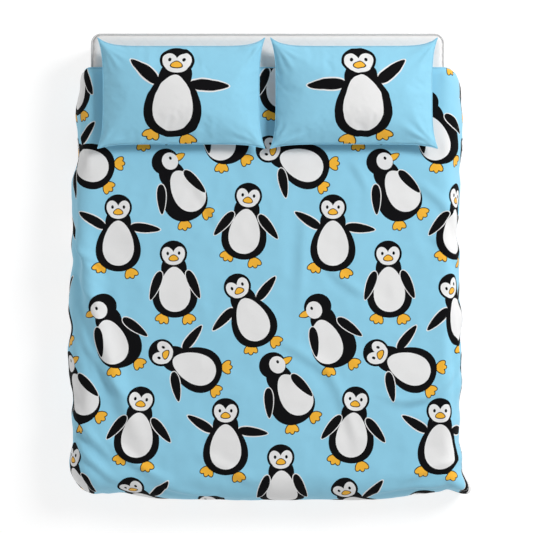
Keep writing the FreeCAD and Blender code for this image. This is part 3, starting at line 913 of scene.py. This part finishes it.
def duvet_ties(face, lining):
    """A tape at each corner of the cover, knotted through the loop on the duvet's own corner."""
    verts, faces = [], []

    def add(path, radius, closed=False):
        more_verts, more_faces = tube(path, radius, closed=closed)
        faces.extend([[k + len(verts) for k in face] for face in more_faces])
        verts.extend([tuple(v) for v in more_verts])

    corners = ((-1, -1, CORNER_CUT), (-1, 1, HEAD_CORNER), (1, -1, CORNER_TIP), (1, 1, HEAD_CORNER))
    for sx, sy, radius in corners:
        inset = radius * (1 - math.sqrt(0.5)) + 0.012
        outer_y = DUVET_HIGH[1] - inset if sy > 0 else DUVET_LOW[1] + inset
        inward = np.linspace(0, TIE_LENGTH / math.sqrt(2), 7)
        x, y = sx * (DUVET_HIGH[0] - inset - inward), outer_y - sy * inward
        path = between(face, lining, x, y)
        add(path, TIE_HALF)
        knot = path[TIE_KNOT]
        along = unit(path[TIE_KNOT + 1] - knot)
        across = unit(np.cross(along, (0.0, 0.0, 1.0)))
        up = np.cross(across, along)
        a = np.linspace(0, 2 * math.pi, 17)[:-1, None]
        for turn in (-1, 1):
            round_knot = (1 - np.cos(a)) * across * turn + 0.45 * np.sin(a) * up + 0.6 * np.sin(a) * along
            add(knot + TIE_LOOP * round_knot, TIE_HALF * 0.8, closed=True)
    ties = piece("duvet_tie_tapes", verts, faces, [LINING_COTTON])
    dress(ties, "duvet", "duvet_corner_ties")


def make_duvet():
    face_surface, lining_surface, wadding_top = duvet_surfaces()
    shapes = duvet_print(DUVET_LOW, DUVET_HIGH)
    face = duvet_panel("duvet_cover_printed", face_surface, 1, FACE_SPACING, shapes, PRINT)
    dress(face, "duvet", "duvet_cover_face")
    lining = duvet_panel("duvet_cover_inside", lining_surface, -1, LINING_SPACING, [], [LINING_COTTON])
    dress(lining, "duvet", "duvet_cover_lining")
    dress(duvet_wadding(wadding_top, lining_surface), "duvet", "duvet_filling")
    duvet_ties(face_surface, lining_surface)
    zip_end_tabs(face_surface, lining_surface)
    dress(duvet_seam(face_surface, lining_surface), "duvet", "duvet_cover_seam_rim")


# ==== The pillows
def pillow_lens(gx, gy):
    t = (1 - (gx / gx.max()) ** 2) * (1 - (gy / gy.max()) ** 2)
    return 0.075 * np.maximum(t, 0) ** 0.5


def sewn_cover(name, start, flat, inner):
    """A cover of two panels that share their edge. Gives it and the numbers of its front and back points."""
    rows, columns = inner.shape
    underside = np.array([1, 1, -1])
    front = np.arange(rows * columns).reshape(rows, columns)
    back = front.copy()
    back[inner] = rows * columns + np.arange(inner.sum())
    started, laid = (np.concatenate([grid.reshape(-1, 3), (grid * underside)[inner]])
                     for grid in (start, flat))
    faces = []
    for j in range(rows - 1):
        for i in range(columns - 1):
            around = ((j, i), (j, i + 1), (j + 1, i + 1), (j + 1, i))
            faces.append([front[p] for p in around])
            faces.append([back[p] for p in reversed(around)])
    made = piece(name, started, faces, [])
    made.shape_key_add(name="start")
    rest = made.shape_key_add(name="rest")
    rest.data.foreach_set("co", laid.astype(np.float32).ravel())
    cloth = made.modifiers.new("cloth", "CLOTH")
    cloth.settings.rest_shape_key = rest
    for key, value in PILLOW_CLOTH.items():
        setattr(cloth.settings, key, value)
    cloth.settings.effector_weights.gravity = 0.0
    cloth.collision_settings.use_collision = False
    cloth.point_cache.frame_start = 1
    cloth.point_cache.frame_end = PILLOW_FRAMES
    return made, front, back


def inflate_pillow(name, seed):
    """Stuffs a flat cover by cloth simulation. Gives its flat places and its front and back points."""
    xs, ys = (np.linspace(-side / 2, side / 2, count) for side, count in zip(PILLOW_CUT, PILLOW_GRID))
    gx, gy = np.meshgrid(xs, ys)
    lens = pillow_lens(gx, gy)
    inner = (np.abs(gx) <= xs[-1] - 1e-6) & (np.abs(gy) <= ys[-1] - 1e-6)
    flat = np.stack([gx, gy, np.zeros_like(gx)], -1)
    start = np.stack([gx, gy, 0.25 * lens], -1)
    start += np.random.default_rng(seed).normal(0, 0.0006, start.shape) * inner[..., None]
    made, front, back = sewn_cover(name, start, flat, inner)
    for step in range(1, PILLOW_FRAMES + 1):
        bpy.context.scene.frame_set(step)
    ready = made.evaluated_get(bpy.context.evaluated_depsgraph_get()).data
    co = np.zeros(len(ready.vertices) * 3)
    ready.vertices.foreach_get("co", co)
    co = co.reshape(-1, 3)
    bpy.context.scene.frame_set(1)
    bpy.data.objects.remove(made)
    co -= (co.max(0) + co.min(0)) / 2 * np.array([1, 1, 0])
    panels = []
    for grid in (co[front], co[back]):
        slid = grid[..., :2] - flat[..., :2]
        grid[..., :2] = flat[..., :2] + KEPT_SLIDE * blurred(slid, 10)
        panels.append(grid)
    return xs, ys, *panels


def drawn_in(share, which):
    """How far a side is drawn in, from -1 at one of its corners to 1 at the other."""
    depth, power = PILLOW_EARS[which]
    return depth * (1 - np.abs(share) ** power)


def eared(grid, half):
    """Moves a stuffed panel so that its seam follows a rectangle with pointed corners and drawn-in sides."""
    rows, columns, _ = grid.shape
    u = np.linspace(-1, 1, columns)
    v = np.linspace(-1, 1, rows)
    sides = {
        "foot": np.stack([u * half[0], drawn_in(u, "foot") - half[1]], -1) - grid[0, :, :2],
        "head": np.stack([u * half[0], half[1] - drawn_in(u, "head")], -1) - grid[-1, :, :2],
        "left": np.stack([drawn_in(v, "side") - half[0], v * half[1]], -1) - grid[:, 0, :2],
        "right": np.stack([half[0] - drawn_in(v, "side"), v * half[1]], -1) - grid[:, -1, :2],
    }
    s, t = ((u + 1) / 2)[None, :, None], ((v + 1) / 2)[:, None, None]
    moved = sides["left"][:, None] * (1 - s) + sides["right"][:, None] * s
    moved = moved + sides["foot"][None] * (1 - t) + sides["head"][None] * t
    for edge, across in ((sides["foot"], 1 - t), (sides["head"], t)):
        moved = moved - (edge[0] * (1 - s) + edge[-1] * s) * across
    result = grid.copy()
    result[..., :2] += moved
    return result


def lining_of(xs, ys, grid, other, depth, outward):
    """A smooth surface that stays at least depth inside a creased panel, and clear of the panel opposite."""
    gx, gy = np.meshgrid(xs, ys)
    _, normals = Surface(xs, ys, grid).at(gx.ravel(), gy.ravel())
    normals = normals.reshape(grid.shape) * outward
    smooth = blurred(grid, 8)
    proud = spread_out(np.maximum(((smooth - grid) * normals).sum(-1), 0), 2)
    gap = np.linalg.norm(grid - other, axis=-1)
    inward = np.minimum(proud + depth, 0.32 * gap)
    return Surface(xs, ys, smooth - normals * inward[..., None])


def pillow_insides(body, xs, ys, front, back, low, high):
    """The pillow inside its cover: a ticking case of two panels, and the wadding that fills it."""
    low = [place + CASE_INSET for place in low]
    high = [place - CASE_INSET for place in high]
    flat, faces, _ = pattern(rounded_outline(low, high, (CASE_CORNER,) * 4, 0.016), 0.018)
    x, y = flat[:, 0], flat[:, 1]
    filled = []
    for name, grid, other, turn in (("upper", front, back, 1), ("lower", back, front, -1)):
        points, _ = lining_of(xs, ys, grid, other, CASE_DEPTH["case"], turn).at(x, y)
        panel = thicken(piece(f"{body}_case_{name}", points, faces[:, ::turn], [TICKING], None, flat), 0.0006)
        dress(panel, body, f"{body}_ticking_{name}")
        filled.append(lining_of(xs, ys, grid, other, CASE_DEPTH["wadding"], turn).at(x, y)[0])
    wadding = shell(body + "_wadding", *filled, faces, WADDING, flat)
    dress(wadding, body, body + "_filling")


def pillow_back(body, back_surface, low, high, opening):
    """The underside of the cover: a panel tucked under a flap, which overlap at the envelope's opening."""
    side = math.copysign(1, opening)
    tucked = (low, (opening + ENVELOPE_OVERLAP, high[1]))
    flap = ((opening, low[1]), high)
    if side < 0:
        tucked = ((opening - ENVELOPE_OVERLAP, low[1]), high)
        flap = (low, (opening, high[1]))
    for name, panel in (("back", tucked), ("flap", flap)):
        flat, faces, inks = pattern(rounded_outline(*panel, (PILLOW_SEAM,) * 4, 0.012), 0.014)
        x, y = flat[:, 0], flat[:, 1]
        points, normals = back_surface.at(x, y)
        if name == "back":
            near = smooth_step(opening * side - 0.05, opening * side - 0.01, x * side)
            away = smooth_step(0.0, 0.03, edge_distance(x, y, low, high, (PILLOW_SEAM,) * 4))
            points = points + normals * (FLAP_TUCK * near * away)[:, None]
        made = piece(f"{body}_envelope_{name}", points, faces[:, ::-1], [PILLOW_BACK_COTTON], inks, flat)
        dress(thicken(made, COTTON), body, f"{body}_cover_{name}")


def pillow_folds(x, y, half, seed):
    """Soft folds that run inwards from the corners of a stuffed pillow, and gathers along its seam."""
    rng = np.random.default_rng(seed)
    total = np.zeros_like(x)
    for cx in (-1, 1):
        for cy in (-1, 1):
            from_x, from_y = half[0] - x * cx, half[1] - y * cy
            for angle in PILLOW_FOLDS:
                a = math.radians(angle + rng.normal(0, 4))
                length = rng.uniform(0.12, 0.26)
                height = rng.uniform(0.0035, 0.0080)
                along = from_x * math.cos(a) + from_y * math.sin(a)
                across = from_y * math.cos(a) - from_x * math.sin(a) - 0.22 * along**2
                width = 0.007 + 0.055 * np.maximum(along, 0)
                ridge = bell(across, 0, width) - 0.5 * bell(across, 1.7 * width, width)
                fade = smooth_step(0.02, 0.07, along) * (1 - smooth_step(0.4 * length, length, along))
                total += height * ridge * fade
    to_long, to_short = half[1] - np.abs(y), half[0] - np.abs(x)
    for waves, inside, reach in ((np.sin(x * 95 + 2.2 * np.sin(x * 23 + seed)), to_long, 0.028),
                                 (np.sin(y * 105 + 2.0 * np.sin(y * 27 + seed)), to_short, 0.026)):
        total += PILLOW_GATHER * waves * np.exp(-inside / reach) * smooth_step(0, 0.012, inside)
    return total


def make_pillow(body, side, seed):
    """side is 1 for the left pillow and -1 for the right one, whose bird is mirrored."""
    xs, ys, front, back = inflate_pillow(body + "_stuffing", seed)
    front_low, front_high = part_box(f"{body}_cover_front")
    flap_low, flap_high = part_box(f"{body}_cover_flap")
    seam_z = front_low.z
    centre = np.array([(front_low.x + front_high.x) / 2, (front_low.y + front_high.y) / 2, seam_z])
    half = np.array([front_high.x - front_low.x, front_high.y - front_low.y]) / 2
    rise = front_high.z - seam_z
    fall = seam_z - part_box(f"{body}_cover_back")[0].z
    highest, lowest = front[..., 2].max(), back[..., 2].min()

    def settled(grid):
        """Fits stuffed points into the space of the CAD pillow, with the underside pressed level."""
        z = grid[..., 2]
        low = np.where(z < 0, z * fall * 1.5 / lowest, 0)
        pressed = np.minimum(low - np.maximum(low - fall * 0.7, 0) * 0.72, fall - 0.0008)
        moved = eared(grid, half)
        moved[..., 2] = np.where(z > 0, z * rise / highest, -pressed)
        return moved + centre

    front, back = settled(front), settled(back)
    gx, gy = np.meshgrid(xs, ys)
    front[..., 2] += pillow_folds(gx, gy, (xs[-1], ys[-1]), seed)
    front_surface = Surface(xs, ys, front)
    low, high = (xs[0], ys[0]), (xs[-1], ys[-1])
    outline = rounded_outline(low, high, (PILLOW_SEAM,) * 4, PILLOW_SPACING)
    place = (PILLOW_BIRD[0] * side, PILLOW_BIRD[1])
    drawing = [(finer(points), ink) for points, ink in bird(PILLOW_POSE)]
    shapes = place_shapes(drawing, place, PILLOW_BIRD_HEIGHT, PILLOW_BIRD_TURN * side, side < 0)
    flat, faces, inks = pattern(outline, PILLOW_SPACING, shapes)
    points, _ = front_surface.at(flat[:, 0], flat[:, 1])
    cover = thicken(piece(body + "_cover_printed", points, faces, PRINT, inks, flat), COTTON)
    dress(cover, body, body + "_cover_front")
    opening = (flap_high.x if side > 0 else flap_low.x) - centre[0]
    pillow_back(body, Surface(xs, ys, back), low, high, opening)
    pillow_insides(body, xs, ys, front, back, low, high)
    rim = np.array(outline)
    path, _ = front_surface.at(rim[:, 0], rim[:, 1])
    verts, faces = tube(path, 0.0016, closed=True)
    dress(piece(body + "_cover_seam", verts, faces, [SEAM_COTTON]), body)


# ==== The mattress
def mattress_top(low, high, radii):
    """The quilted top panel, rolled over at its edge."""
    flat, faces, _ = pattern(rounded_outline(low, high, radii, 0.016), 0.018)
    x, y = flat[:, 0], flat[:, 1]
    inside = edge_distance(x, y, low, high, radii)
    edge = TOP_PANEL_HIGH.z - TOP_PANEL_LOW.z
    roll = edge * (1 - np.sqrt(np.maximum(1 - (1 - np.clip(inside / edge, 0, 1)) ** 2, 0)))
    diamonds = np.abs(np.sin((x + y) * math.pi / QUILT) * np.sin((x - y) * math.pi / QUILT))
    quilt = QUILT_DEPTH * (1 - diamonds ** 0.35) * smooth_step(0.01, 0.05, inside)
    verts = np.stack([x, y, TOP_PANEL_HIGH.z - 0.0002 - roll - quilt], -1)
    top = thicken(piece("mattress_quilted_top", verts, faces, [KNIT], None, flat), 0.004)
    dress(top, "mattress", "mattress_top_panel")


def mattress_border(outline):
    """The knitted border: full, with two rows of stitches all round."""
    low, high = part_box("mattress_border")
    around = np.roll(outline, -1, 0) - np.roll(outline, 1, 0)
    outward = np.stack([around[:, 1], -around[:, 0]], -1)
    outward /= np.linalg.norm(outward, axis=1)[:, None]
    levels = np.linspace(0, 1, 25)
    rings = []
    for t in levels:
        stitches = sum(bell(t, row, 0.025) for row in STITCH_ROWS)
        swell = BORDER_SWELL * math.sin(math.pi * t) ** 0.5 - STITCH_DEPTH * stitches
        z = low.z + t * (high.z - low.z)
        rings.append(np.concatenate([outline + outward * swell, np.full((len(outline), 1), z)], 1))
    faces = ring_faces(len(levels), len(outline))
    border = thicken(piece("mattress_side_border", np.concatenate(rings), faces, [BORDER_KNIT]), 0.003)
    dress(border, "mattress", "mattress_border")


def make_mattress():
    low, high = TOP_PANEL_LOW[:2], TOP_PANEL_HIGH[:2]
    radii = (MATTRESS_CORNER,) * 4
    mattress_top(low, high, radii)
    mattress_border(np.array(rounded_outline(low, high, radii, 0.016)))


# ==== The zip and the CAD nodes
def make_zip_coils():
    """A row of nylon coil along each tape, wound from one wire."""
    steps = 10
    for row in ("face", "lining"):
        low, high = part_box("zip_coil_" + row)
        middle = (low + high) / 2
        half_width = (high.y - low.y) / 2 - COIL_WIRE
        half_height = (high.z - low.z) / 2 - COIL_WIRE
        turns = int((high.x - low.x - 4 * COIL_WIRE) / COIL_PITCH)
        t = np.arange(turns * steps + 1) / steps
        angle = 2 * math.pi * t
        path = np.stack([low.x + 2 * COIL_WIRE + COIL_PITCH * t, middle.y + half_width * np.cos(angle),
                         middle.z + half_height * np.sin(angle)], -1)
        verts, faces = tube(path, COIL_WIRE, sides=5)
        coil = piece("zip_coil_row_" + row, verts, faces, [ZIP_NYLON])
        dress(coil, "duvet", "zip_coil_" + row)


def finish_nodes():
    """Gives the CAD nodes that stay in sight their materials."""
    finishes = {
        "mattress_piping_upper": PIPING_TAPE, "mattress_piping_lower": PIPING_TAPE,
        "mattress_base_panel": BASE_CLOTH, **FOAMS,
        "zip_tape_face": TAPE_WEAVE, "zip_tape_lining": TAPE_WEAVE,
        "zip_stops": ZIP_METAL, "zip_slider": ZIP_METAL, "zip_pull_tab": ZIP_METAL,
    }
    for node, material in finishes.items():
        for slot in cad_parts[node].material_slots:
            slot.link = "OBJECT"
            slot.material = material


# ==== The studio
def add_camera(scene):
    camera = bpy.data.objects.new("camera", bpy.data.cameras.new("camera"))
    camera.data.sensor_width = SENSOR
    camera.data.lens = SENSOR * CAMERA_HEIGHT / VIEW_WIDTH
    camera.data.clip_end = 200
    camera.location = (*VIEW_CENTRE, BED_TOP + CAMERA_HEIGHT)
    scene.collection.objects.link(camera)
    scene.camera = camera


def add_room():
    """A wide white floor and a round white wall, far away."""
    half = STUDIO_RADIUS
    matt = {"Roughness": 0.95, "Specular IOR Level": 0.0}
    corners = [(-half, -half, 0), (half, -half, 0), (half, half, 0), (-half, half, 0)]
    floor = piece("floor", corners, [(0, 1, 2, 3)], [glowing("floor_white", 0.36, FLOOR_GLOW, matt)])
    floor.location.z = -0.001
    turns = [2 * math.pi * k / WALL_SIDES for k in range(WALL_SIDES)]
    ring = [(half * math.cos(a), half * math.sin(a), z) for z in (0, WALL_HEIGHT) for a in turns]
    piece("wall", ring, ring_faces(2, WALL_SIDES), [glowing("wall_white", 0.1, WALL_GLOW)])


def add_light(scene):
    world = bpy.data.worlds.new("studio")
    world.use_nodes = True
    background = world.node_tree.nodes["Background"]
    background.inputs["Color"].default_value = (1.0, 1.0, 1.0, 1)
    background.inputs["Strength"].default_value = SKY_LIGHT
    scene.world = world
    for name, (place, size, power) in LAMPS.items():
        data = bpy.data.lights.new(name, "AREA")
        data.size = size
        data.energy = power
        lamp = bpy.data.objects.new(name, data)
        lamp.location = place
        lamp.rotation_euler = (-Vector(place)).to_track_quat("-Z", "Y").to_euler()
        scene.collection.objects.link(lamp)


def studio():
    scene = bpy.context.scene
    scene.view_settings.view_transform = "Standard"
    add_camera(scene)
    add_room()
    add_light(scene)


studio()
make_mattress()
make_duvet()
make_pillow("pillow_left", 1, 11)
make_pillow("pillow_right", -1, 23)
make_zip_coils()
finish_nodes()
